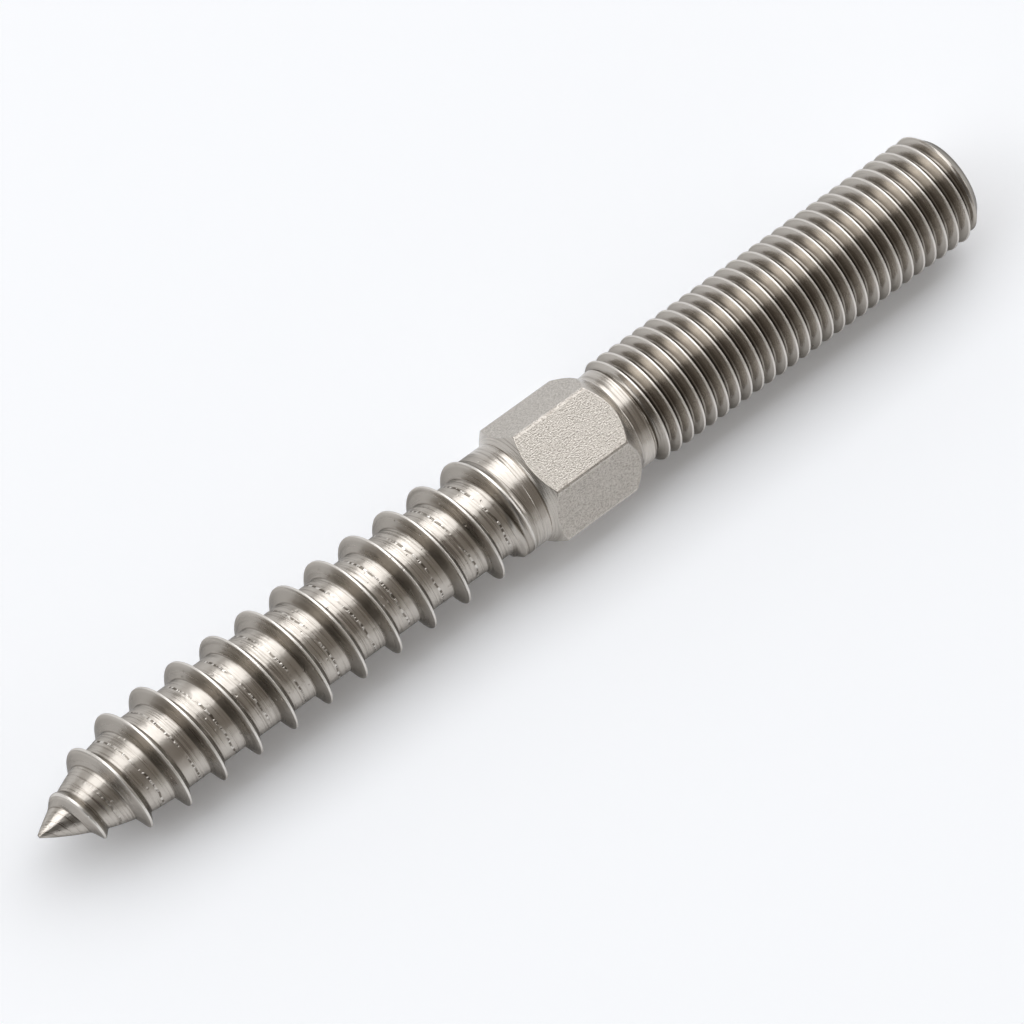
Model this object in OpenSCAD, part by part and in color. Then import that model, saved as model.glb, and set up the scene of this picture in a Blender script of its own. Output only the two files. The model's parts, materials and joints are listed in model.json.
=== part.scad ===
// Hanger bolt: a wood thread, a hexagon collar and a machine stud, formed from one steel rod.
// It lies along X on one flat of the hexagon, with its point towards -X and its stud towards +X.
// Lengths are in millimetres, and stations along the bolt are counted from the point.

/* [Wood thread] */
// Length from the point to the round collar
wood_len = 45.2; // [43:0.2:52]
// Diameter over the crests
wood_major_d = 9.85; // [9.55:0.05:9.85]
// Diameter of the rod between the turns
wood_core_d = 7.5; // [7:0.1:8]
// Advance in one right-handed turn
wood_pitch = 3.5; // [3.2:0.1:4.5]
// Width of a turn at its crest
wood_crest_w = 0.36; // [0.3:0.02:0.5]
// Width of a turn where it meets the rod
wood_root_w = 1.3; // [1.1:0.1:1.6]
// Angle that the thread is turned about the bolt's axis
wood_turn = 208; // [0:1:359]
// Length of the rounded taper to the point
point_len = 11; // [8:0.5:14]
// Diameter of the blunt point
point_d = 0.3; // [0.2:0.1:0.8]

/* [Collar and hexagon] */
// Length of the round collar between the wood thread and the hexagon
collar_len = 2.7; // [1.5:0.1:5]
// Diameter of the round collar
collar_d = 9.2; // [8.6:0.1:9.4]
// Length of the hexagon with its two cones
hex_len = 9.55; // [8:0.05:14]
// Width across the flats, for a 10 mm spanner
hex_af = 9.9; // [9.9:0.05:10.4]
// Depth to which the six corners are turned down
hex_break = 0.06; // [0.03:0.01:0.2]
// Angle of the cone beside the collar, from the bolt's axis
collar_cone_angle = 53; // [45:1:60]
// Angle of the cone beside the neck, from the bolt's axis
neck_cone_angle = 40; // [35:1:50]

/* [Machine stud] */
// Length of the plain neck beside the hexagon
neck_len = 1.35; // [1:0.05:3]
// Diameter of the neck
neck_d = 8.8; // [8.4:0.1:9.2]
// Length from the neck to the stud's end
stud_len = 35.2; // [25:0.2:60]
// Diameter over the crests of the machine thread
stud_d = 9.85; // [9.75:0.01:9.85]
// Advance of the machine thread in one right-handed turn
stud_pitch = 1.25; // [1:0.05:1.75]
// Angle that the machine thread is turned about the bolt's axis
stud_turn = 331; // [0:1:359]
// Length over which the first turn grows out of the neck
run_in_len = 0.5; // [0.3:0.1:2]
// Length of the chamfer at the stud's end
end_chamfer = 1; // [0.5:0.1:1.2]

/* [Hidden] */

// Stations of the features along the bolt
hex_start = wood_len + collar_len;
hex_end = hex_start + hex_len;
neck_end = hex_end + neck_len;
total_len = neck_end + stud_len;

// Each thread ends on a flat disc, a little narrower than the collar or the neck that it stands on
disc_step = 0.02;
// The turns rise behind the point, and the last one sinks into the collar, where the rod has swollen
thread_sink = 1.1;
thread_end = wood_len + thread_sink;
rise_start = 1.3;
rise_len = 1.9;
swell_len = 0.5;
fade_lead = 0.2;
fade_len = fade_lead + thread_sink;

// Outline of one turn of each thread, as [station, share of the ridge's height]
wood_land_w = (wood_pitch - wood_root_w) / 3;
wood_outline = [
    [-wood_root_w / 2, 0],
    [-wood_crest_w / 2, 1],
    [wood_crest_w / 2, 1],
    [wood_root_w / 2, 0],
    [wood_root_w / 2 + wood_land_w, 0],
    [wood_root_w / 2 + 2 * wood_land_w, 0],
];
// The metric profile: flanks at 60 degrees, a crest of an eighth and a root of a quarter of the pitch
stud_crest_w = stud_pitch / 8;
stud_root_w = stud_pitch / 4;
stud_depth = (stud_pitch - stud_crest_w - stud_root_w) / 2 / tan(30);
stud_outline = [
    [-stud_crest_w / 2, 1],
    [stud_crest_w / 2, 1],
    [stud_pitch / 2 - stud_root_w / 2, 0],
    [stud_pitch / 2 + stud_root_w / 2, 0],
];
// Facets in one turn of each thread
wood_facets = 32;
stud_facets = 24;

function clamp(value, low, high) = min(max(value, low), high);
function ease(t) = t * t * (3 - 2 * t);
function ramp(value, start, length) = ease(clamp((value - start) / length, 0, 1));

// Share of the full radius along the rounded point: a parabola that runs level into the rod
function point_share(station) =
    station >= point_len ? 1 : 1 - (1 - point_d / wood_core_d) * pow(1 - station / point_len, 2);

// Share of the wood thread's full height along the bolt
function wood_ridge_share(station) =
    ramp(station, rise_start, rise_len) * (1 - ramp(station, wood_len - fade_lead, fade_len));

// Radius of the rod between the turns, which swells to the collar at its far end
function wood_core_radius(station) =
    let (growth = collar_d / 2 - disc_step - wood_core_d / 2)
    wood_core_d / 2 + growth * ramp(station, wood_len - swell_len, swell_len);

// Radius of the wood thread at a station, for a share of the ridge's height
function wood_radius(station, share) =
    let (core = wood_core_radius(station))
    let (ridge = wood_ridge_share(station) * max(0, wood_major_d / 2 - core))
    point_share(station) * (core + share * ridge);

// Radius of the machine thread at a distance from the neck: it grows out of the neck and ends in the chamfer
function stud_radius(station, share) =
    let (first = neck_d / 2 - disc_step)
    let (full = stud_d / 2 - (1 - share) * stud_depth)
    let (chamfer = stud_d / 2 - end_chamfer + stud_len - station)
    min(first + (full - first) * ramp(station, 0, run_in_len), chamfer);

// Rod with a right-handed thread, standing on its first end. The outline is one turn of the thread, and
// rod_radius gives the radius for a station on the rod and a share of the ridge's height.
module threaded_rod(length, pitch, outline, facets, rod_radius) {
    turn_rows = len(outline);
    rows = (ceil(length / pitch) + 3) * turn_rows;

    // Station of a row at a facet: each row climbs one pitch in a full turn
    function row_station(row, facet) =
        (floor(row / turn_rows) - 2 + facet / facets) * pitch + outline[row % turn_rows][0];

    // The rows at which each facet's line meets the two end discs
    first_rows = [
        for (facet = [0:facets - 1])
        max([for (row = [0:rows - 1]) if (row_station(row, facet) <= 0) row])
    ];
    last_rows = [
        for (facet = [0:facets - 1])
        min([for (row = [0:rows - 1]) if (row_station(row, facet) >= length) row])
    ];

    function rod_point(row, facet) =
        let (station = clamp(row_station(row, facet), 0, length))
        let (radius = rod_radius(station, outline[row % turn_rows][1]))
        let (angle = 360 * facet / facets)
        [radius * cos(angle), radius * sin(angle), station];

    // Number of a point, where a full turn leads on to the next pitch's rows
    function point_number(row, facet) =
        facet == facets
            ? point_number(row + turn_rows, 0)
            : facet * rows + clamp(row, first_rows[facet], last_rows[facet]);

    function is_triangle(corners) =
        corners[0] != corners[1] && corners[1] != corners[2] && corners[2] != corners[0];

    points = [for (facet = [0:facets - 1]) for (row = [0:rows - 1]) rod_point(row, facet)];
    sides = [
        for (facet = [0:facets - 1])
        for (row = [0:rows - 2])
        let (low = point_number(row, facet))
        let (high = point_number(row + 1, facet))
        let (next_low = point_number(row, facet + 1))
        let (next_high = point_number(row + 1, facet + 1))
        for (corners = [[low, high, next_high], [low, next_high, next_low]])
        if (is_triangle(corners)) corners
    ];
    first_disc = [for (facet = [0:facets - 1]) point_number(0, facet)];
    last_disc = [for (facet = [facets - 1:-1:0]) point_number(rows - 1, facet)];
    polyhedron(points, concat(sides, [first_disc, last_disc]));
}

// Rod with the point and the wood thread
module wood_thread() {
    rotate(wood_turn)
        threaded_rod(
            thread_end, wood_pitch, wood_outline, wood_facets,
            function (station, share) wood_radius(station, share)
        );
}

// Stud with the machine thread, on the neck
module machine_thread() {
    translate([0, 0, neck_end])
        rotate(stud_turn)
            threaded_rod(
                stud_len, stud_pitch, stud_outline, stud_facets,
                function (station, share) stud_radius(station, share)
            );
}

// Round collar and neck, turned in one profile through the hexagon
module turned_shank() {
    rotate_extrude($fn = 96)
        polygon([
            [0, thread_end],
            [collar_d / 2, thread_end],
            [collar_d / 2, hex_start],
            [neck_d / 2, hex_end],
            [neck_d / 2, neck_end],
            [0, neck_end],
        ]);
}

// Hexagon with cone ends and broken corners, a flat on each side of the local X axis
module hexagon() {
    corner_r = hex_af / 2 / cos(30);
    broken_r = corner_r - hex_break;
    collar_cone = (broken_r - collar_d / 2) / tan(collar_cone_angle);
    neck_cone = (broken_r - neck_d / 2) / tan(neck_cone_angle);
    intersection() {
        translate([0, 0, hex_start])
            rotate(30)
                cylinder(r = corner_r, h = hex_len, $fn = 6);
        rotate_extrude($fn = 96)
            polygon([
                [0, hex_start],
                [collar_d / 2, hex_start],
                [broken_r, hex_start + collar_cone],
                [broken_r, hex_end - neck_cone],
                [neck_d / 2, hex_end],
                [0, hex_end],
            ]);
    }
}

module hanger_bolt() {
    color("#8f8b85")
        translate([-total_len / 2, 0, hex_af / 2])
            rotate([0, 90, 0])
                union() {
                    wood_thread();
                    turned_shank();
                    hexagon();
                    machine_thread();
                }
}

hanger_bolt();
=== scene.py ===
"""Hanger bolt in bare stainless steel: wood thread, hexagon collar and machine stud, lying on a pale floor.

Lengths are in metres. A station is a distance along the bolt from its point, and an angle about the bolt's
axis is counted from +Y towards +Z, so that both right-handed threads climb along +X as the angle grows.
"""

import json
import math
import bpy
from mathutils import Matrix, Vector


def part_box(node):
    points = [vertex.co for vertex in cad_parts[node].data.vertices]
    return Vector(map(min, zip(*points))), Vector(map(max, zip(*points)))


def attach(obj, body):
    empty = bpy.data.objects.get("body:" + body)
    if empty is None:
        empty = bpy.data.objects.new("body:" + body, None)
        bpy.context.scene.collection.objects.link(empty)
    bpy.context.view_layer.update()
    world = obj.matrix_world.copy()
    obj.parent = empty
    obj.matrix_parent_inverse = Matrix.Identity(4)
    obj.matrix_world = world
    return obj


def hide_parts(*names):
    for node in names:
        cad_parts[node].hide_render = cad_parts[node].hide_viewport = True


bl_info = {
    "name": "Hanger Bolt",
    "version": (1, 0, 0),
    "blender": (4, 5, 0),
    "location": "View3D > Sidebar > Hanger Bolt",
    "description": "Builds a hanger bolt with a wood thread, a hexagon collar and a machine thread",
    "category": "Object",
}

from functools import partial

import bmesh
import bpy
from mathutils import Matrix, Vector

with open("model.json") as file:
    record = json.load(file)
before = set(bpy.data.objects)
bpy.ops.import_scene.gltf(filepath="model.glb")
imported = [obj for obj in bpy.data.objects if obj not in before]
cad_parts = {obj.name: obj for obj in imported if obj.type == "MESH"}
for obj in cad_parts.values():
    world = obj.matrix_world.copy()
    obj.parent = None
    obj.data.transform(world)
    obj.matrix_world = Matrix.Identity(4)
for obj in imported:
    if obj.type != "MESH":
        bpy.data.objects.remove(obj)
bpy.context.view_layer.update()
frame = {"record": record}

MM = 0.001
NODE = "hanger_bolt"
BODY = "root"

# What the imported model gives: its box and the sizes of its mounts
BOX_LOW, BOX_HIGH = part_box(NODE)
MOUNTS = {mount["name"]: mount for mount in frame["record"]["mounts"]}
STUD_MOUNT = MOUNTS["machine_thread"]
WOOD_MOUNT = MOUNTS["wood_thread"]
AXIS_HEIGHT = STUD_MOUNT["pos_m"][2]
POINT_X = BOX_LOW.x

# Columns of points around the bolt, in six groups that crowd towards the hexagon's edges
HEX_SIDES = 6
SIDE_COLUMNS = 18
COLUMNS = HEX_SIDES * SIDE_COLUMNS
WELD = 0.0002 * MM
# Share of a turn from angle zero, at +Y, to the top
TOP_TURN = 0.25

# Half of one turn, as rows from the crest to the middle of the groove: place across, share of the height
WOOD_OUTLINE = (
    (0.0, 1.0),
    (0.03, 1.0),
    (0.045, 0.995),
    (0.056, 0.98),
    (0.065, 0.955),
    (0.074, 0.92),
    (0.17, 0.60),
    (0.265, 0.30),
    (0.335, 0.085),
    (0.353, 0.035),
    (0.368, 0.01),
    (0.39, 0.0),
    (0.55, 0.0),
    (0.77, 0.0),
    (1.0, 0.0),
)
STUD_OUTLINE = (
    (0.0, 1.0),
    (0.07, 1.0),
    (0.10, 0.985),
    (0.13, 0.945),
    (0.38, 0.61),
    (0.64, 0.265),
    (0.80, 0.06),
    (0.87, 0.012),
    (1.0, 0.0),
)

# Node kinds that occur most
MATH = "ShaderNodeMath"
NOISE = "ShaderNodeTexNoise"
MAPPING = "ShaderNodeMapping"
RAMP = "ShaderNodeMapRange"
# Numbers of a Mix node's two colour inputs and of its colour output
MIX_FIRST = 6
MIX_SECOND = 7
MIX_RESULT = 2
# Roughness of the crests and beads that are lightened as a painted highlight
HIGHLIGHT_ROUGHNESS = 0.42


def linear(hex_colour):
    """Linear red, green and blue of an sRGB colour written as six hex digits."""
    channels = [int(hex_colour[i : i + 2], 16) / 255 for i in (0, 2, 4)]
    return tuple(c / 12.92 if c <= 0.04045 else ((c + 0.055) / 1.055) ** 2.4 for c in channels)


def add_node(tree, kind, inputs=(), **settings):
    """Adds a node with its settings, and fills its inputs, in order or by name.

    An input takes a value, a socket, or a node that stands for its first output.
    """
    node = tree.nodes.new(kind)
    for name, value in settings.items():
        setattr(node, name, value)
    for key, value in inputs.items() if isinstance(inputs, dict) else enumerate(inputs):
        if isinstance(value, bpy.types.Node):
            value = value.outputs[0]
        if isinstance(value, bpy.types.NodeSocket):
            tree.links.new(value, node.inputs[key])
        else:
            node.inputs[key].default_value = value
    return node


def length_property(name, description, default):
    """A length in metres."""
    return bpy.props.FloatProperty(
        name=name, description=description, default=default, subtype="DISTANCE", unit="LENGTH", precision=5
    )


def angle_property(name, description, degrees):
    """An angle, given in degrees."""
    return bpy.props.FloatProperty(
        name=name, description=description, default=math.radians(degrees), subtype="ANGLE", unit="ROTATION"
    )


def colour_property(name, description, hex_colour):
    """A colour, given as an sRGB hex value."""
    return bpy.props.FloatVectorProperty(
        name=name, description=description, default=linear(hex_colour), subtype="COLOR", size=3, min=0, max=1
    )


class BoltSizes(bpy.types.PropertyGroup):
    """Sizes of the bolt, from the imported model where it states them."""

    length: length_property("Length", "From the point to the stud's end", BOX_HIGH.x - BOX_LOW.x)
    wood_length: length_property(
        "Wood Thread Length", "From the point to the round collar", WOOD_MOUNT["dims"]["length_mm"] * MM
    )
    wood_radius: length_property(
        "Wood Thread Radius", "Radius over the crests of the wood thread", WOOD_MOUNT["dims"]["r_mm"] * MM
    )
    wood_core_radius: length_property("Wood Core Radius", "Radius of the rod between the turns", 3.75 * MM)
    wood_pitch: length_property("Wood Pitch", "Advance of the wood thread in one turn", 3.5 * MM)
    wood_top_station: length_property(
        "Wood Turn on Top", "Station at which a turn of the wood thread crosses the top", 27.73 * MM
    )
    point_length: length_property("Point Length", "Length of the rounded taper to the point", 11.0 * MM)
    point_radius: length_property("Point Radius", "Radius of the blunt point", 0.15 * MM)
    rise_start: length_property("Rise Start", "Station at which the first turn starts to rise", 1.3 * MM)
    rise_end: length_property("Rise End", "Station at which the first turn has risen", 3.2 * MM)
    swell_length: length_property("Swell Length", "Length over which the rod swells to the collar", 0.5 * MM)
    fade_lead: length_property(
        "Fade Lead", "Distance before the collar at which the last turn starts to sink", 0.2 * MM
    )
    run_out: length_property(
        "Run-out", "Distance past the collar's start at which the last turn has sunk", 1.1 * MM
    )
    collar_length: length_property("Collar Length", "Length of the round collar", 2.7 * MM)
    collar_radius: length_property("Collar Radius", "Radius of the round collar", 4.6 * MM)
    hex_length: length_property("Hexagon Length", "Length of the hexagon with its two cones", 9.55 * MM)
    hex_across_flats: length_property(
        "Across Flats", "Width of the hexagon across its flats", BOX_HIGH.z - BOX_LOW.z
    )
    collar_cone_angle: angle_property(
        "Collar Cone", "Angle of the cone beside the collar, from the axis", 53
    )
    neck_cone_angle: angle_property("Neck Cone", "Angle of the cone beside the neck, from the axis", 40)
    neck_length: length_property("Neck Length", "Length of the plain neck beside the hexagon", 1.35 * MM)
    neck_radius: length_property("Neck Radius", "Radius of the plain neck", 4.4 * MM)
    stud_radius: length_property(
        "Stud Radius", "Radius over the crests of the machine thread", STUD_MOUNT["dims"]["r_mm"] * MM
    )
    stud_pitch: length_property("Machine Pitch", "Advance of the machine thread in one turn", 1.25 * MM)
    stud_depth: length_property(
        "Machine Thread Depth", "Depth from the crest to the rounded root", 0.767 * MM
    )
    stud_top_station: length_property(
        "Machine Turn on Top", "Station at which a turn of the machine thread crosses the top", 75.776 * MM
    )
    run_in: length_property("Run-in", "Length over which the first turn grows out of the neck", 0.5 * MM)
    end_chamfer: length_property("End Chamfer", "Length of the chamfer at the stud's end", 1.0 * MM)

    @property
    def thread_end(self):
        """Station at which the last turn of the wood thread has sunk into the collar."""
        return self.wood_length + self.run_out

    @property
    def hex_start(self):
        """Station at which the cone beside the collar starts."""
        return self.wood_length + self.collar_length

    @property
    def hex_end(self):
        """Station at which the cone beside the neck ends."""
        return self.hex_start + self.hex_length

    @property
    def neck_end(self):
        """Station at which the machine thread starts to grow out of the neck."""
        return self.hex_end + self.neck_length


class SteelColours(bpy.types.PropertyGroup):
    """Colours of the steel and the stage."""

    steel: colour_property("Steel", "Colour of the bare stainless steel", "bdb7af")
    # The dark colour of real dashes, lines and grain hollows, and of the painted shade on the threads'
    # flanks, feet and roots
    marks: colour_property(
        "Marks", "Colour of the dashes, the deeper lines, the dark film and the grain's hollows", "5d554b"
    )
    # The light colour of the bright spots of the hexagon's grain, of the painted highlight on the threads'
    # crests and of the painted glint on the seam's beads
    wear_and_highlight: colour_property(
        "Worn Steel", "Colour of the crests, the beads and the high grain, which are worn bright", "e4e0da"
    )
    edge: colour_property(
        "Edge Tint", "Share of its shine that a thread keeps where it is seen edge-on", "b3b3b3"
    )
    floor: colour_property("Floor", "Colour of the pale floor", "f9fbfe")
    lamp: colour_property("Lamp", "Colour of the lamps", "fafcff")
    overhead: colour_property("Overhead", "Colour of the dim studio overhead", "fff4e8")
    horizon: colour_property("Horizon", "Colour of the studio round the horizon", "fffdfb")


class ViewPlace(bpy.types.PropertyGroup):
    """The camera's place, at the photograph's viewing angle."""

    target: bpy.props.FloatVectorProperty(
        name="Target",
        description="Point at the middle of the picture",
        default=(-0.50 * MM, -1.15 * MM, AXIS_HEIGHT),
        subtype="XYZ",
        unit="LENGTH",
        size=3,
        precision=5,
    )
    azimuth: angle_property("Azimuth", "Direction from the target to the camera about +Z, from +X", -156.16)
    elevation: angle_property("Elevation", "Angle of the camera above the floor", 68.60)
    roll: angle_property("Roll", "Turn of the camera about its line of sight, from level", 28.68)
    distance: length_property("Distance", "Distance from the camera to the target", 440.3 * MM)
    lens: bpy.props.FloatProperty(
        name="Lens",
        description="Focal length on a 36 mm sensor",
        default=195.3,
        subtype="DISTANCE_CAMERA",
        unit="CAMERA",
    )


class SteelTree:
    """A bare-steel material, with places on the bolt that its texture is laid out by, in millimetres."""

    def __init__(self, name, colours):
        self.material = bpy.data.materials.new(name)
        self.material.use_nodes = True
        self.material.node_tree.nodes.clear()
        self.add = partial(add_node, self.material.node_tree)
        self.colours = colours
        own = self.add("ShaderNodeTexCoord").outputs["Object"]
        self.place = self.add(
            MAPPING, {"Vector": own, "Location": (0, 0, -AXIS_HEIGHT / MM), "Scale": (1 / MM,) * 3}
        )
        self.x, self.y, self.z = self.add("ShaderNodeSeparateXYZ", (self.place,)).outputs

    def helix(self, pitch, top_station, radius):
        """Distances across and along a thread's groove, the first counted from midway between the crests."""
        add = self.add
        angle = add(MATH, (self.z, self.y), operation="ARCTAN2")
        climb = add(MATH, (angle, 1 / math.tau, -TOP_TURN), operation="MULTIPLY_ADD")
        top_level = (POINT_X + top_station) / pitch
        from_top = add(MATH, (self.x, MM / pitch, -top_level), operation="MULTIPLY_ADD")
        level = add(MATH, (from_top, climb), operation="SUBTRACT")
        share = add(MATH, (level,), operation="FRACT")
        across = add(MATH, (share, pitch / MM, -pitch / MM / 2), operation="MULTIPLY_ADD")
        along = add(MATH, (self.x, across), operation="SUBTRACT")
        along = add(MATH, (along, math.tau * radius / pitch), operation="MULTIPLY")
        return across, along

    def finish(self, heights, roughness, marks, wear_and_highlight=0.0, edge=(1, 1, 1)):
        """Joins the shader to its heights, its roughness and its shares of the dark and the light colour:
        the dark one carries real marks and, on the threads, painted shade; the light one carries the grain's
        bright spots and, on the threads, a painted highlight.

        Each height is a share and a depth in millimetres. The edge is the tint of the shine seen edge-on.
        """
        add = self.add
        height = 0.0
        for share, depth in heights:
            height = add(MATH, (share, depth * MM, height), operation="MULTIPLY_ADD")
        normal = add("ShaderNodeBump", {"Height": height, "Strength": 1.0, "Distance": 1.0})
        # The dark colour carries real marks and, on the threads, painted shade; the light one carries the
        # hexagon grain's bright spots and, on the threads, painted highlights and glints
        colour = (*self.colours.steel, 1)
        for share, tint in ((marks, self.colours.marks), (wear_and_highlight, self.colours.wear_and_highlight)):
            mix = {"Factor": share, MIX_FIRST: colour, MIX_SECOND: (*tint, 1)}
            colour = add("ShaderNodeMix", mix, data_type="RGBA").outputs[MIX_RESULT]
        shader = add(
            "ShaderNodeBsdfPrincipled",
            {
                "Base Color": colour,
                "Metallic": 1.0,
                "Roughness": roughness,
                "Specular Tint": (*edge, 1),
                "Normal": normal,
            },
        )
        add("ShaderNodeOutputMaterial", {"Surface": shader})
        return self.material


def rolled_wood_thread_steel(sizes, colours):
    """Stainless steel rolled between ridged dies, left bare.

    The dies leave lines along the turns, soft dents, and a broken seam of dark dashes and raised beads in
    the middle of each groove; the beads are lightened as a painted glint. The flanks and the feet of the
    turns are darkened as painted shade, and the crests are lightened as a painted highlight. The lines are
    drawn about 0.2 mm apart, coarser than real ones, so that they show.
    """
    line_width = 0.2
    line_length = 7
    dent_width = 0.8
    dent_length = 1.2
    wander_width = 0.7
    wander_length = 3
    dash_length = 0.5
    stretch_length = 2.5
    pit_spacing = 0.9
    steel = SteelTree("rolled_wood_thread_steel", colours)
    add = steel.add
    across, along = steel.helix(sizes.wood_pitch, sizes.wood_top_station, sizes.wood_core_radius)
    groove = add("ShaderNodeCombineXYZ", (across, along))
    lines = add(MAPPING, {"Vector": groove, "Scale": (1 / line_width, 1 / line_length, 1)})
    lines = add(NOISE, {"Vector": lines, "Scale": 1.0, "Detail": 2.0})
    dents = add(MAPPING, {"Vector": groove, "Scale": (1 / dent_width, 1 / dent_length, 1)})
    dents = add(NOISE, {"Vector": dents, "Scale": 1.0, "Detail": 2.0})

    # Seam: dashes and beads up to about 1 mm long, in broken stretches along the groove's wandering middle
    wander = add(MAPPING, {"Vector": groove, "Scale": (0, 1 / wander_length, 0)})
    wander = add(NOISE, {"Vector": wander, "Scale": 1.0, "Detail": 3.0})
    off_seam = add(MATH, (wander, wander_width, across), operation="MULTIPLY_ADD")
    off_seam = add(MATH, (off_seam, wander_width / 2), operation="SUBTRACT")
    dash_place = {"Vector": groove, "Location": (7, 0, 0), "Scale": (0.6, 1 / dash_length, 0)}
    dashes = add(MAPPING, dash_place)
    dashes = add(NOISE, {"Vector": dashes, "Scale": 1.0, "Detail": 2.0})
    dashes = add(RAMP, (dashes, 0.44, 0.52, 0.0, 1.0), interpolation_type="SMOOTHSTEP")
    beside = add(MATH, (off_seam,), operation="ABSOLUTE")
    on_seam = add(RAMP, (beside, 0.04, 0.13, 1.0, 0.0), interpolation_type="SMOOTHSTEP")
    stretch_place = {"Vector": groove, "Location": (3, 0, 0), "Scale": (0.2, 1 / stretch_length, 0)}
    stretches = add(MAPPING, stretch_place)
    stretches = add(NOISE, {"Vector": stretches, "Scale": 1.0, "Detail": 1.0})
    stretches = add(RAMP, (stretches, 0.35, 0.55, 0.15, 1.0), interpolation_type="SMOOTHSTEP")
    point = POINT_X / MM
    off_point = add(RAMP, (steel.x, point + 4, point + 7, 0.0, 1.0), interpolation_type="SMOOTHSTEP")
    seam = add(MATH, (on_seam, stretches), operation="MULTIPLY")
    seam = add(MATH, (seam, off_point), operation="MULTIPLY")
    dashes = add(MATH, (seam, dashes), operation="MULTIPLY")
    beads = add(MATH, (seam, dashes), operation="SUBTRACT")

    # Pits: a few small round ones anywhere on the steel
    pit_cells = {"Vector": steel.place, "Scale": 1 / pit_spacing, "Randomness": 1.0}
    pits = add("ShaderNodeTexVoronoi", pit_cells)
    pits = add(RAMP, (pits, 0.05, 0.15, 1.0, 0.0), interpolation_type="SMOOTHSTEP")

    # Painted shade: the flanks of the turns and a line along their feet are darkened
    half_pitch = sizes.wood_pitch / MM / 2
    foot_place = 0.625 * half_pitch
    off_middle = add(MATH, (across,), operation="ABSOLUTE")
    rising = add(RAMP, (off_middle, 0.57 * half_pitch, 0.64 * half_pitch, 0.0, 0.26))
    below_crest = add(RAMP, (off_middle, 0.86 * half_pitch, 0.92 * half_pitch, 1.0, 0.0))
    painted_shade = add(MATH, (rising, below_crest), operation="MULTIPLY")
    from_foot = add(MATH, (off_middle, foot_place), operation="SUBTRACT")
    from_foot = add(MATH, (from_foot,), operation="ABSOLUTE")
    painted_foot_shade = add(RAMP, (from_foot, 0.02, 0.09, 0.6, 0.0), interpolation_type="SMOOTHSTEP")

    # Painted highlight and glint: the crests, behind the point where the turns have risen, and the beads of
    # the seam are lightened
    risen = add(RAMP, (steel.x, point + 1.5, point + 3, 0.0, 0.9), interpolation_type="SMOOTHSTEP")
    crest = add(RAMP, (off_middle, 0.93 * half_pitch, 0.96 * half_pitch, 0.0, 1.0))
    crest = add(MATH, (crest, risen), operation="MULTIPLY")
    wear_and_highlight = add(MATH, (beads, 0.8), operation="MULTIPLY")
    wear_and_highlight = add(MATH, (wear_and_highlight, crest), operation="MAXIMUM")

    streaks = add(RAMP, (lines, 0.45, 0.75, 0.0, 0.5), interpolation_type="SMOOTHSTEP")
    marks = add(MATH, (dashes, 0.85), operation="MULTIPLY")
    for share in (streaks, painted_shade, painted_foot_shade):
        marks = add(MATH, (marks, share), operation="MAXIMUM")
    roughness = add(RAMP, (lines, 0.3, 0.7, 0.34, 0.24))
    highlight_roughness = add(MATH, (wear_and_highlight, HIGHLIGHT_ROUGHNESS), operation="MULTIPLY")
    roughness = add(MATH, (roughness, highlight_roughness), operation="MAXIMUM")
    heights = ((lines, -0.028), (dents, 0.045), (dashes, -0.03), (beads, 0.02), (pits, -0.03))
    return steel.finish(heights, roughness, marks, wear_and_highlight, colours.edge)


def rolled_machine_thread_steel(sizes, colours):
    """Stainless steel with a rolled machine thread: smooth, bright turns with faint lines along them.

    The roots are darkened as painted shade, with a trace of it on the flanks, and the crests are lightened
    as a painted highlight.
    The lines are drawn about 0.15 mm apart, coarser than real ones, so that they show.
    """
    line_width = 0.15
    line_length = 6
    dent_width = 0.8
    dent_length = 1.5
    steel = SteelTree("rolled_machine_thread_steel", colours)
    add = steel.add
    across, along = steel.helix(sizes.stud_pitch, sizes.stud_top_station, sizes.stud_radius)
    groove = add("ShaderNodeCombineXYZ", (across, along))
    lines = add(MAPPING, {"Vector": groove, "Scale": (1 / line_width, 1 / line_length, 1)})
    lines = add(NOISE, {"Vector": lines, "Scale": 1.0, "Detail": 2.0})
    dents = add(MAPPING, {"Vector": groove, "Scale": (1 / dent_width, 1 / dent_length, 1)})
    dents = add(NOISE, {"Vector": dents, "Scale": 1.0, "Detail": 2.0})
    off_root = add(MATH, (across,), operation="ABSOLUTE")
    half_pitch = sizes.stud_pitch / MM / 2
    # Painted shade: darkest in the roots, fading to a trace on the flanks
    painted_shade = add(RAMP, (off_root, 0.1 * half_pitch, 0.6 * half_pitch, 0.6, 0.08))
    section = add("ShaderNodeCombineXYZ", (steel.y, steel.z))
    radius = add("ShaderNodeVectorMath", (section,), operation="LENGTH").outputs["Value"]
    outer = sizes.stud_radius / MM
    # Painted highlight: the crests are lightened
    wear_and_highlight = add(RAMP, (radius, outer - 0.1, outer - 0.04, 0.0, 0.9))
    streaks = add(RAMP, (lines, 0.45, 0.75, 0.0, 0.3), interpolation_type="SMOOTHSTEP")
    marks = add(MATH, (streaks, painted_shade), operation="MAXIMUM")
    roughness = add(RAMP, (lines, 0.3, 0.7, 0.28, 0.2))
    highlight_roughness = add(MATH, (wear_and_highlight, HIGHLIGHT_ROUGHNESS), operation="MULTIPLY")
    roughness = add(MATH, (roughness, highlight_roughness), operation="MAXIMUM")
    return steel.finish(((lines, -0.006), (dents, 0.012)), roughness, marks, wear_and_highlight, colours.edge)


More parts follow.
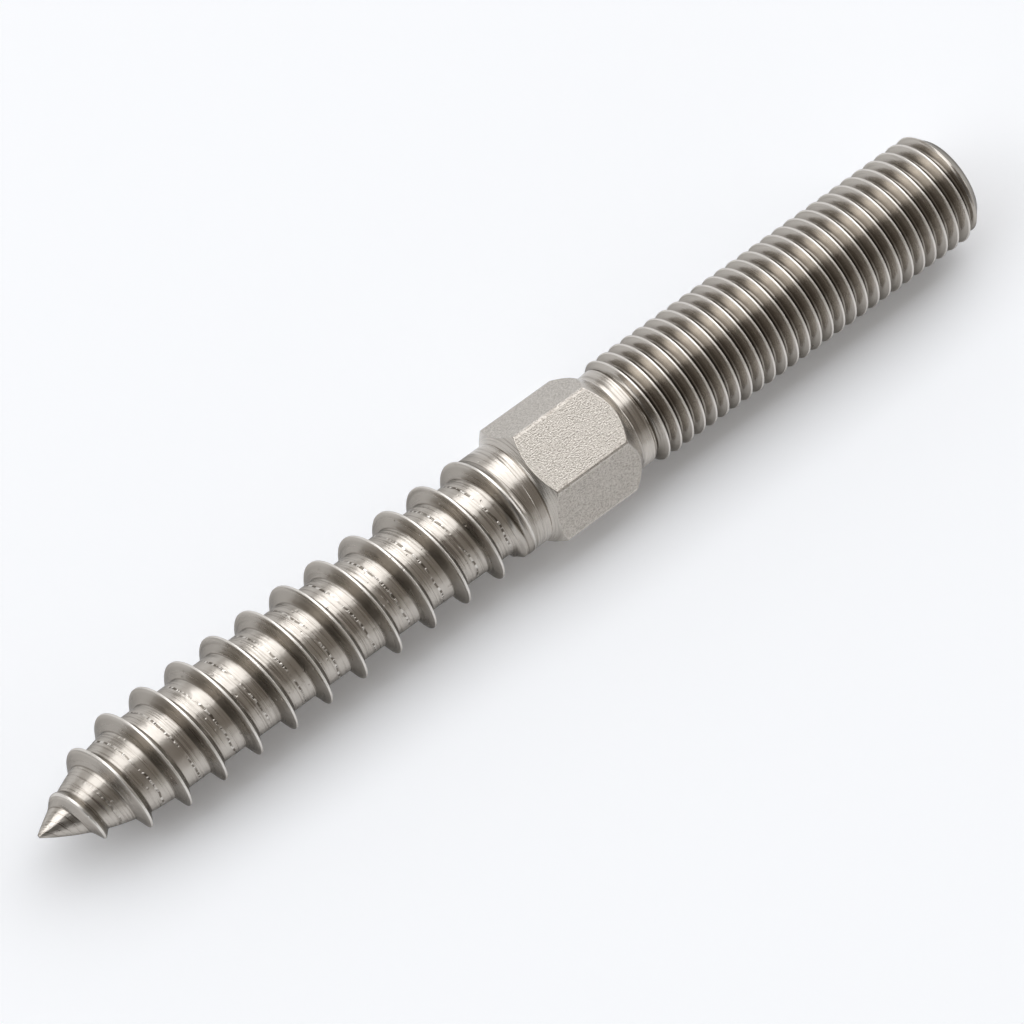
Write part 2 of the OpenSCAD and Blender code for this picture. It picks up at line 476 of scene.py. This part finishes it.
def turned_shoulder_steel(colours):
    """Stainless steel turned on a lathe: fine rings run round the collar, the cones, the neck and the end.

    The rings are drawn about 0.2 mm apart, coarser than real ones, so that they show.
    """
    ring_width = 0.2
    ring_length = 6
    steel = SteelTree("turned_shoulder_steel", colours)
    add = steel.add
    section = add("ShaderNodeCombineXYZ", (steel.y, steel.z))
    radius = add("ShaderNodeVectorMath", (section,), operation="LENGTH").outputs["Value"]
    across = add(MATH, (steel.x, radius), operation="ADD")
    rings = add("ShaderNodeCombineXYZ", (across, steel.y, steel.z))
    ring_scale = (1 / ring_width, 1 / ring_length, 1 / ring_length)
    rings = add(MAPPING, {"Vector": rings, "Scale": ring_scale})
    rings = add(NOISE, {"Vector": rings, "Scale": 1.0, "Detail": 2.0})
    marks = add(RAMP, (rings, 0.45, 0.75, 0.0, 0.5), interpolation_type="SMOOTHSTEP")
    roughness = add(RAMP, (rings, 0.3, 0.7, 0.3, 0.22))
    return steel.finish(((rings, -0.02),), roughness, marks)


def blasted_hexagon_steel(colours):
    """Stainless steel formed and blasted: matte, with an even grain that scatters the light.

    The grain is a little longer along the bolt, with dark hollows and bright high spots. It is drawn about
    0.11 mm wide, coarser than the real one, so that it shows.
    """
    grain_length = 0.16
    grain_width = 0.11
    steel = SteelTree("blasted_hexagon_steel", colours)
    add = steel.add
    grain_scale = (1 / grain_length, 1 / grain_width, 1 / grain_width)
    grain = add(MAPPING, {"Vector": steel.place, "Scale": grain_scale})
    grain = add(NOISE, {"Vector": grain, "Scale": 1.0, "Detail": 2.0, "Roughness": 0.6})
    marks = add(RAMP, (grain, 0.48, 0.66, 0.0, 0.4), interpolation_type="SMOOTHSTEP")
    wear_and_highlight = add(RAMP, (grain, 0.34, 0.52, 0.3, 0.0), interpolation_type="SMOOTHSTEP")
    roughness = add(RAMP, (grain, 0.3, 0.7, 0.34, 0.46))
    return steel.finish(((grain, -0.07),), roughness, marks, wear_and_highlight)


def crowded(share):
    """A share of one hexagon side, moved towards the nearer edge."""
    once = 0.5 + 0.5 * math.sin((share - 0.5) * math.pi)
    twice = 0.5 + 0.5 * math.sin((once - 0.5) * math.pi)
    return (once + twice) / 2


def column_angle(column):
    """Angle of a column of points: the columns crowd towards the hexagon's edges."""
    side, step = divmod(column, SIDE_COLUMNS)
    return (side + crowded(step / SIDE_COLUMNS)) * math.tau / HEX_SIDES


def first_turn_station(top_station, pitch, start):
    """Station of the first turn at angle zero, early enough for every column to begin at the start."""
    back_turns = math.ceil((top_station - start) / pitch + 1 - TOP_TURN)
    return top_station - pitch * (back_turns + TOP_TURN)


class ThreadTree:
    """A Geometry Nodes tree that winds a grid round the axis, with rows that climb one pitch in a full turn.

    It gives each point's angle, station and share of the thread's height, from which a radius is made.
    """

    def __init__(self, name, outline, sizes):
        self.tree = bpy.data.node_groups.new(name, "GeometryNodeTree")
        self.add = partial(add_node, self.tree)
        self.sizes = {"Columns": COLUMNS, "Rows per Turn": 2 * (len(outline) - 1), **sizes}
        self.tree.interface.new_socket("Mesh", in_out="OUTPUT", socket_type="NodeSocketGeometry")
        for label, value in self.sizes.items():
            kind = "NodeSocketInt" if isinstance(value, int) else "NodeSocketFloat"
            self.tree.interface.new_socket(label, in_out="INPUT", socket_type=kind)
        self.inputs = self.add("NodeGroupInput").outputs
        self.wind(outline)

    def wind(self, outline):
        """Makes the grid, and the angle, station and share of the height of each of its points."""
        add = self.add
        inputs = self.inputs
        turns = inputs["Turns"]
        rows = add(MATH, (turns, inputs["Rows per Turn"], 1), operation="MULTIPLY_ADD")
        columns = add(MATH, (inputs["Columns"], 1), operation="ADD")
        self.grid = add(
            "GeometryNodeMeshGrid", {"Size X": 1.0, "Size Y": 1.0, "Vertices X": columns, "Vertices Y": rows}
        )
        position = add("GeometryNodeInputPosition")
        place = add("ShaderNodeSeparateXYZ", (position,)).outputs
        around = add(MATH, (place["X"], HEX_SIDES, HEX_SIDES / 2), operation="MULTIPLY_ADD")
        down = add(MATH, (place["Y"], 0.5), operation="ADD")

        # Angle: the columns crowd towards the hexagon's edges, as column_angle has them. The nudge keeps a
        # column that stands on an edge on its own side.
        nudge = 0.001
        nudged = add(MATH, (around, nudge), operation="ADD")
        side = add(MATH, (nudged,), operation="FLOOR")
        share = add(MATH, (around, side), operation="SUBTRACT")
        shares = []
        for _ in range(2):
            swing = add(MATH, (share, math.pi, -math.pi / 2), operation="MULTIPLY_ADD")
            swing = add(MATH, (swing,), operation="SINE")
            share = add(MATH, (swing, 0.5, 0.5), operation="MULTIPLY_ADD")
            shares.append(share)
        share = add(MATH, (add(MATH, shares, operation="ADD"), 0.5, side), operation="MULTIPLY_ADD")
        self.angle = add(MATH, (share, math.tau / HEX_SIDES), operation="MULTIPLY")

        # Station: the rows of each turn stand where the outline has them, on both sides of the crest
        level = add(MATH, (down, turns), operation="MULTIPLY")
        turn = add(MATH, (level,), operation="ROUND")
        local = add(MATH, (level, turn), operation="SUBTRACT")
        step = add(MATH, (add(MATH, (local,), operation="ABSOLUTE"), 2.0), operation="MULTIPLY")
        tables = []
        for values in zip(*outline):
            curve = add("ShaderNodeFloatCurve", {"Value": step})
            points = curve.mapping.curves[0].points
            places = [(row / (len(values) - 1), value) for row, value in enumerate(values)]
            points[0].location = places[0]
            points[1].location = places[-1]
            for point_place in places[1:-1]:
                points.new(*point_place)
            for point in points:
                point.handle_type = "VECTOR"
            curve.mapping.update()
            tables.append(curve.outputs[0])
        off_crest, self.height = tables
        half_side = add(MATH, (add(MATH, (local,), operation="SIGN"), 0.5), operation="MULTIPLY")
        level = add(MATH, (off_crest, half_side, turn), operation="MULTIPLY_ADD")
        level = add(MATH, (self.angle, 1 / math.tau, level), operation="MULTIPLY_ADD")
        station = add(MATH, (level, inputs["Pitch"], inputs["First Turn"]), operation="MULTIPLY_ADD")
        self.station = add("ShaderNodeClamp", (station, inputs["Start"], inputs["End"]))

    def finish(self, radius, material):
        """Gives the grid its radius, welds its seams and sets its material."""
        add = self.add
        along = add(MATH, (self.station, POINT_X), operation="ADD")
        turn_y = add(MATH, (self.angle,), operation="COSINE")
        turn_z = add(MATH, (self.angle,), operation="SINE")
        y = add(MATH, (radius, turn_y), operation="MULTIPLY")
        z = add(MATH, (radius, turn_z, AXIS_HEIGHT), operation="MULTIPLY_ADD")
        place = add("ShaderNodeCombineXYZ", (along, y, z))
        shaped = add("GeometryNodeSetPosition", {"Geometry": self.grid, "Position": place})
        welded = add("GeometryNodeMergeByDistance", {"Geometry": shaped, "Distance": WELD})
        plain = add("GeometryNodeRealizeInstances", {"Geometry": welded})
        painted = add("GeometryNodeSetMaterial", {"Geometry": plain, "Material": material})
        add("NodeGroupOutput", {"Mesh": painted})

    def make_mesh(self, name):
        """The finished mesh of the tree at its own sizes."""
        holder = bpy.data.objects.new(name, bpy.data.meshes.new(name))
        bpy.context.scene.collection.objects.link(holder)
        modifier = holder.modifiers.new("thread", "NODES")
        modifier.node_group = self.tree
        for item in self.tree.interface.items_tree:
            if item.in_out == "INPUT":
                modifier[item.identifier] = self.sizes[item.name]
        depsgraph = bpy.context.evaluated_depsgraph_get()
        mesh = bpy.data.meshes.new_from_object(holder.evaluated_get(depsgraph))
        bpy.data.meshes.remove(holder.data)
        mesh.name = name
        return mesh


def smooth_min(a, b, blend):
    """The lesser of two lengths, rounded where they come within a blend of each other."""
    share = max(blend - abs(a - b), 0) / blend
    return min(a, b) - share * share * blend / 4


def smooth_max(a, b, blend):
    """The greater of two lengths, rounded where they come within a blend of each other."""
    return -smooth_min(-a, -b, blend)


def smooth_step(value, low, high):
    """A soft rise from 0 to 1 between two values."""
    share = min(max((value - low) / (high - low), 0), 1)
    return share * share * (3 - 2 * share)


class HANGER_BOLT_OT_wood_thread(bpy.types.Operator):
    """Builds the rod with the wood thread and the point"""

    bl_idname = "hanger_bolt.wood_thread"
    bl_label = "Wood Thread"

    def execute(self, context):
        sizes = context.scene.bolt_sizes
        thread = ThreadTree(
            "Wood Thread",
            WOOD_OUTLINE,
            {
                "Turns": math.ceil(sizes.thread_end / sizes.wood_pitch) + 2,
                "Pitch": sizes.wood_pitch,
                "First Turn": first_turn_station(sizes.wood_top_station, sizes.wood_pitch, 0.0),
                "Start": 0.0,
                "End": sizes.thread_end,
                "Crest Radius": sizes.wood_radius,
                "Core Radius": sizes.wood_core_radius,
                "Collar Radius": sizes.collar_radius,
                "Rise Start": sizes.rise_start,
                "Rise End": sizes.rise_end,
                "Swell Start": sizes.wood_length - sizes.swell_length,
                "Swell End": sizes.wood_length,
                "Fade Start": sizes.wood_length - sizes.fade_lead,
                "Point Length": sizes.point_length,
                "Point Share": sizes.point_radius / sizes.wood_core_radius,
            },
        )
        add = thread.add
        inputs = thread.inputs
        station = thread.station

        # The rod swells to the collar, the turns rise behind the point and the last sinks into the collar
        swell = [inputs[name] for name in ("Swell Start", "Swell End", "Core Radius", "Collar Radius")]
        core = add(RAMP, (station, *swell), interpolation_type="SMOOTHSTEP")
        rise = (station, inputs["Rise Start"], inputs["Rise End"], 0.0, 1.0)
        rise = add(RAMP, rise, interpolation_type="SMOOTHSTEP")
        fade = (station, inputs["Fade Start"], inputs["End"], 1.0, 0.0)
        fade = add(RAMP, fade, interpolation_type="SMOOTHSTEP")
        ridge = add(MATH, (inputs["Crest Radius"], core), operation="SUBTRACT")
        for share in (rise, fade, thread.height):
            ridge = add(MATH, (ridge, share), operation="MULTIPLY")
        full = add(MATH, (core, ridge), operation="ADD")

        # The point is a parabola that runs level into the rod
        ahead = add(RAMP, (station, 0.0, inputs["Point Length"], 1.0, 0.0))
        drop = add(MATH, (ahead, ahead), operation="MULTIPLY")
        blunt = add(MATH, (inputs["Point Share"], 1.0), operation="SUBTRACT")
        taper = add(MATH, (drop, blunt, 1.0), operation="MULTIPLY_ADD")
        radius = add(MATH, (full, taper), operation="MULTIPLY")
        thread.finish(radius, rolled_wood_thread_steel(sizes, context.scene.steel_colours))
        thread.make_mesh("wood_thread")
        return {"FINISHED"}


class HANGER_BOLT_OT_machine_thread(bpy.types.Operator):
    """Builds the stud with the machine thread"""

    bl_idname = "hanger_bolt.machine_thread"
    bl_label = "Machine Thread"

    def execute(self, context):
        sizes = context.scene.bolt_sizes
        thread = ThreadTree(
            "Machine Thread",
            STUD_OUTLINE,
            {
                "Turns": math.ceil((sizes.length - sizes.neck_end) / sizes.stud_pitch) + 2,
                "Pitch": sizes.stud_pitch,
                "First Turn": first_turn_station(sizes.stud_top_station, sizes.stud_pitch, sizes.neck_end),
                "Start": sizes.neck_end,
                "End": sizes.length,
                "Root Radius": sizes.stud_radius - sizes.stud_depth,
                "Thread Depth": sizes.stud_depth,
                "Neck Radius": sizes.neck_radius,
                "Run-in End": sizes.neck_end + sizes.run_in,
                "Rim Radius": sizes.stud_radius - sizes.end_chamfer,
            },
        )
        add = thread.add
        inputs = thread.inputs
        station = thread.station

        # The first turn grows out of the neck, and the chamfer cuts the last turns
        full = (thread.height, inputs["Thread Depth"], inputs["Root Radius"])
        full = add(MATH, full, operation="MULTIPLY_ADD")
        grown = (station, inputs["Start"], inputs["Run-in End"], 0.0, 1.0)
        grown = add(RAMP, grown, interpolation_type="SMOOTHSTEP")
        above_neck = add(MATH, (full, inputs["Neck Radius"]), operation="SUBTRACT")
        radius = add(MATH, (grown, above_neck, inputs["Neck Radius"]), operation="MULTIPLY_ADD")
        to_end = add(MATH, (inputs["End"], station), operation="SUBTRACT")
        chamfer = add(MATH, (to_end, inputs["Rim Radius"]), operation="ADD")
        radius = add(MATH, (radius, chamfer), operation="MINIMUM")
        thread.finish(radius, rolled_machine_thread_steel(sizes, context.scene.steel_colours))
        thread.make_mesh("machine_thread")
        return {"FINISHED"}


class HANGER_BOLT_OT_hexagon(bpy.types.Operator):
    """Builds the round collar, the hexagon with its cones and the neck"""

    bl_idname = "hanger_bolt.hexagon"
    bl_label = "Hexagon Collar"

    def execute(self, context):
        sizes = context.scene.bolt_sizes
        collar_slope = math.tan(sizes.collar_cone_angle)
        neck_slope = math.tan(sizes.neck_cone_angle)
        half_flats = sizes.hex_across_flats / 2
        broken_radius = BOX_HIGH.y
        edge_blend = 0.03 * MM
        fillet = 0.12 * MM
        sharp_angle = math.radians(20)
        # Flare of the neck, with the distances before the neck's end at which it is full and starts to drop
        flare = 0.08 * MM
        flare_full = 0.25 * MM
        flare_drop = 0.16 * MM
        # Ring grooves round the collar: distance before the cone, half width and depth
        grooves = ((0.95 * MM, 0.07 * MM, 0.025 * MM), (0.1 * MM, 0.12 * MM, 0.07 * MM))
        # The flats' edges keep the turned finish: these rows at each end, and a column along each side
        edge_rows = 4
        edge_columns = (2, SIDE_COLUMNS - 3)

        def flat_radius(angle):
            """Distance from the axis to the hexagon, with its corners turned down."""
            side = math.tau / HEX_SIDES
            local = abs(angle % side - side / 2)
            return min(half_flats / math.cos(local), broken_radius)

        def turned_radius(station):
            """Radius of the collar, the two cones and the neck, with filleted corners and ring grooves."""
            collar = sizes.collar_radius
            for before_cone, half_width, depth in grooves:
                off = abs(station - (sizes.hex_start - before_cone))
                collar -= depth * (1 - smooth_step(off, 0, half_width))
            grown = smooth_step(station, sizes.hex_end, sizes.neck_end - flare_full)
            dropped = smooth_step(station, sizes.neck_end - flare_drop, sizes.neck_end)
            neck = sizes.neck_radius + flare * grown - flare * dropped
            collar_cone = sizes.collar_radius + (station - sizes.hex_start) * collar_slope
            neck_cone = sizes.neck_radius + (sizes.hex_end - station) * neck_slope
            return min(smooth_max(collar, collar_cone, fillet), smooth_max(neck, neck_cone, fillet))

        def column_rows(flat):
            """Stations of one column's rows, close together at each edge, with their materials."""
            left = sizes.hex_start + (flat - sizes.collar_radius) / collar_slope
            right = sizes.hex_end - (flat - sizes.neck_radius) / neck_slope
            edge = (-0.05, -0.02, 0.0, 0.02, 0.05, 0.2)
            before_cone = (1.6, 1.3, 1.05, 1.0, 0.95, 0.9, 0.85, 0.5, 0.24, 0.17, 0.10, 0.04, 0.0)
            neck_rows = (0.0, 0.06, 0.12, 0.25, 0.5, 0.8, 1.0, 1.1, 1.15, 1.19, 1.25, 1.3, 1.35)
            turned = [sizes.hex_start - offset * MM for offset in before_cone]
            turned += [sizes.hex_start + share * (left - sizes.hex_start) for share in (0.25, 0.5, 0.7)]
            flats = [left + offset * MM for offset in edge]
            flats += [left + share * (right - left) for share in (0.15, 0.3, 0.5, 0.7, 0.85)]
            flats += [right - offset * MM for offset in reversed(edge)]
            after = [sizes.hex_end - share * (sizes.hex_end - right) for share in (0.6, 0.4, 0.2)]
            after += [sizes.hex_end + offset * MM for offset in neck_rows]
            marks = [0] * (len(turned) + edge_rows)
            marks += [1] * (len(flats) - 2 * edge_rows - 1)
            marks += [0] * (len(after) + edge_rows)
            return turned + flats + after, marks

        points = []
        face_marks = []
        for column in range(COLUMNS):
            angle = column_angle(column)
            flat = flat_radius(angle)
            stations, marks = column_rows(flat)
            on_edge = column % SIDE_COLUMNS in edge_columns
            face_marks += [0] * len(marks) if on_edge else marks
            for station in stations:
                radius = smooth_min(turned_radius(station), flat, edge_blend)
                across = (radius * math.cos(angle), AXIS_HEIGHT + radius * math.sin(angle))
                points.append((POINT_X + station, *across))
        rows = len(points) // COLUMNS
        faces = []
        for column in range(COLUMNS):
            here = column * rows
            beside = (column + 1) % COLUMNS * rows
            faces += [(here + r, beside + r, beside + r + 1, here + r + 1) for r in range(rows - 1)]
        mesh = bpy.data.meshes.new("hexagon")
        mesh.from_pydata(points, [], faces)
        mesh.materials.append(turned_shoulder_steel(context.scene.steel_colours))
        mesh.materials.append(blasted_hexagon_steel(context.scene.steel_colours))
        mesh.polygons.foreach_set("material_index", face_marks)
        mesh.set_sharp_from_angle(angle=sharp_angle)
        return {"FINISHED"}


class HANGER_BOLT_OT_join(bpy.types.Operator):
    """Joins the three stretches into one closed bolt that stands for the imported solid"""

    bl_idname = "hanger_bolt.join"
    bl_label = "Join the Bolt"

    def execute(self, context):
        stretches = [bpy.data.meshes[name] for name in ("hexagon", "wood_thread", "machine_thread")]
        shell = bmesh.new()
        materials = []
        for stretch in stretches:
            made = len(shell.faces)
            shell.from_mesh(stretch)
            shell.faces.ensure_lookup_table()
            for face in shell.faces[made:]:
                steel = stretch.materials[face.material_index]
                if steel not in materials:
                    materials.append(steel)
                face.material_index = materials.index(steel)
        bmesh.ops.remove_doubles(shell, verts=shell.verts, dist=WELD)
        rims = [edge for edge in shell.edges if edge.is_boundary]
        for edge in rims:
            edge.smooth = False
        bmesh.ops.holes_fill(shell, edges=rims, sides=0)
        bmesh.ops.recalc_face_normals(shell, faces=shell.faces)
        for face in shell.faces:
            face.smooth = True
        loose = [edge for edge in shell.edges if not edge.is_manifold]
        if loose:
            raise RuntimeError(f"the bolt's shell is open at {len(loose)} edges")
        mesh = bpy.data.meshes.new("threaded_bolt")
        shell.to_mesh(mesh)
        shell.free()
        for material in materials:
            mesh.materials.append(material)
        for stretch in stretches:
            bpy.data.meshes.remove(stretch)
        bolt = bpy.data.objects.new("threaded_bolt", mesh)
        context.scene.collection.objects.link(bolt)
        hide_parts(NODE)
        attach(bolt, BODY)
        return {"FINISHED"}


def pale_floor_paper(colours):
    """Matte white paper that takes the bolt's soft shadow, a little lifted to the eye and in the steel."""
    lift_level = 0.05
    material = bpy.data.materials.new("pale_floor_paper")
    material.use_nodes = True
    material.node_tree.nodes.clear()
    add = partial(add_node, material.node_tree)
    rays = add("ShaderNodeLightPath").outputs
    seen = add(MATH, (rays["Is Camera Ray"], rays["Is Glossy Ray"]), operation="MAXIMUM")
    seen = add(MATH, (seen, rays["Is Transmission Ray"]), operation="MAXIMUM")
    lift = add(MATH, (seen, lift_level), operation="MULTIPLY")
    paper = add(
        "ShaderNodeBsdfPrincipled",
        {
            "Base Color": (*colours.floor, 1),
            "Roughness": 0.9,
            "Specular IOR Level": 0.0,
            "Emission Color": (*colours.floor, 1),
            "Emission Strength": lift,
        },
    )
    add("ShaderNodeOutputMaterial", {"Surface": paper})
    return material


def direction_at(azimuth, elevation):
    """Unit vector at an azimuth from +X and an elevation above the floor."""
    flat = math.cos(elevation)
    return Vector((math.cos(azimuth) * flat, math.sin(azimuth) * flat, math.sin(elevation)))


class HANGER_BOLT_OT_stage(bpy.types.Operator):
    """Lays the pale floor and sets the lamps, the world and the camera"""

    bl_idname = "hanger_bolt.stage"
    bl_label = "Stage"

    def execute(self, context):
        self.lay_floor(context)
        self.set_lamps(context)
        self.set_world(context)
        self.set_camera(context)
        return {"FINISHED"}

    def lay_floor(self, context):
        """A round pale floor under the bolt."""
        floor_radius = 3.0
        mesh = bpy.data.meshes.new("floor")
        shell = bmesh.new()
        bmesh.ops.create_circle(shell, cap_ends=True, segments=64, radius=floor_radius)
        shell.to_mesh(mesh)
        shell.free()
        mesh.materials.append(pale_floor_paper(context.scene.steel_colours))
        floor = bpy.data.objects.new("floor", mesh)
        context.scene.collection.objects.link(floor)

    def set_lamps(self, context):
        """A long softbox above the bolt's +Y side, a lamp off each end, and one for the steel alone."""
        distance = 2.8
        # Name, azimuth and elevation in degrees, length, width, radiance, and whether it lights the floor
        lamps = (
            ("softbox", 90, 64, 9.0, 2.14, 1.9, True),
            ("point_lamp", 168, 34, 1.8, 1.2, 1.5, True),
            ("stud_lamp", -16, 24, 1.8, 0.8, 2.2, True),
            ("side_lamp", 53, 30, 1.8, 1.4, 2.2, False),
        )
        for name, azimuth, elevation, length, width, radiance, lights_floor in lamps:
            place = direction_at(math.radians(azimuth), math.radians(elevation)) * distance
            light = bpy.data.lights.new(name, "AREA")
            light.shape = "RECTANGLE"
            light.size = length
            light.size_y = width
            light.color = context.scene.steel_colours.lamp
            light.energy = radiance * math.pi * length * width
            lamp = bpy.data.objects.new(name, light)
            lamp.location = place
            lamp.rotation_euler = (-place).to_track_quat("-Z", "Y").to_euler()
            lamp.visible_diffuse = lights_floor
            context.scene.collection.objects.link(lamp)

    def set_world(self, context):
        """A studio that is light round the horizon, dim overhead and dark on the camera's side."""
        colours = context.scene.steel_colours
        horizon_level = 0.6
        overhead_level = 0.24
        # The light reaches higher on the +Y side, where this share of Y is taken off the height
        height_drop = 0.4
        camera_side_share = 0.3
        camera_side = Vector((-0.89, -0.42, 0.15)).normalized()
        world = bpy.data.worlds.new("studio")
        world.use_nodes = True
        world.node_tree.nodes.clear()
        add = partial(add_node, world.node_tree)
        direction = add("ShaderNodeTexCoord").outputs["Generated"]
        place = add("ShaderNodeSeparateXYZ", (direction,)).outputs
        behind = add(MATH, (place["Y"], 0.0), operation="MAXIMUM")
        height = add(MATH, (behind, -height_drop, place["Z"]), operation="MULTIPLY_ADD")
        share = add(RAMP, (height, 0.3, 0.5, 0.0, 1.0), interpolation_type="SMOOTHSTEP")
        sky = add(
            "ShaderNodeMix",
            {
                "Factor": share,
                MIX_FIRST: (*(c * horizon_level for c in colours.horizon), 1),
                MIX_SECOND: (*(c * overhead_level for c in colours.overhead), 1),
            },
            data_type="RGBA",
        )
        facing = add("ShaderNodeVectorMath", (direction, camera_side), operation="DOT_PRODUCT")
        strength = (facing.outputs["Value"], 0.58, 0.86, 1.0, camera_side_share)
        strength = add(RAMP, strength, interpolation_type="SMOOTHSTEP")
        light = add("ShaderNodeBackground", {"Color": sky.outputs[MIX_RESULT], "Strength": strength})
        add("ShaderNodeOutputWorld", {"Surface": light})
        context.scene.world = world

    def set_camera(self, context):
        """The camera at the photograph's viewing angle."""
        view = context.scene.bolt_view
        back = direction_at(view.azimuth, view.elevation)
        data = bpy.data.cameras.new("camera")
        data.sensor_width = 36
        data.lens = view.lens
        data.clip_start = 0.01
        data.clip_end = 20
        camera = bpy.data.objects.new("camera", data)
        level = back.to_track_quat("Z", "Y").to_matrix().to_4x4()
        turned = level @ Matrix.Rotation(view.roll, 4, "Z")
        camera.matrix_world = Matrix.Translation(Vector(view.target) + back * view.distance) @ turned
        context.scene.collection.objects.link(camera)
        context.scene.camera = camera
        context.scene.view_settings.view_transform = "Standard"


class HANGER_BOLT_PT_panel(bpy.types.Panel):
    """Sidebar panel with the bolt's sizes, colours and steps"""

    bl_idname = "HANGER_BOLT_PT_panel"
    bl_label = "Hanger Bolt"
    bl_space_type = "VIEW_3D"
    bl_region_type = "UI"
    bl_category = "Hanger Bolt"

    def draw(self, context):
        for name, _ in GROUPS:
            group = getattr(context.scene, name)
            box = self.layout.box()
            for key in group.__annotations__:
                box.prop(group, key)
        for step in STEPS:
            self.layout.operator(step.bl_idname)


STEPS = (
    HANGER_BOLT_OT_wood_thread,
    HANGER_BOLT_OT_hexagon,
    HANGER_BOLT_OT_machine_thread,
    HANGER_BOLT_OT_join,
    HANGER_BOLT_OT_stage,
)
GROUPS = (
    ("bolt_sizes", BoltSizes),
    ("steel_colours", SteelColours),
    ("bolt_view", ViewPlace),
)
CLASSES = (BoltSizes, SteelColours, ViewPlace, *STEPS, HANGER_BOLT_PT_panel)


def register():
    for cls in CLASSES:
        bpy.utils.register_class(cls)
    for name, group in GROUPS:
        setattr(bpy.types.Scene, name, bpy.props.PointerProperty(type=group))


def unregister():
    for name, _ in GROUPS:
        delattr(bpy.types.Scene, name)
    for cls in reversed(CLASSES):
        bpy.utils.unregister_class(cls)


def main():
    """Builds the bolt and its stage."""
    register()
    bpy.ops.hanger_bolt.wood_thread()
    bpy.ops.hanger_bolt.hexagon()
    bpy.ops.hanger_bolt.machine_thread()
    bpy.ops.hanger_bolt.join()
    bpy.ops.hanger_bolt.stage()


if __name__ == "__main__":
    main()
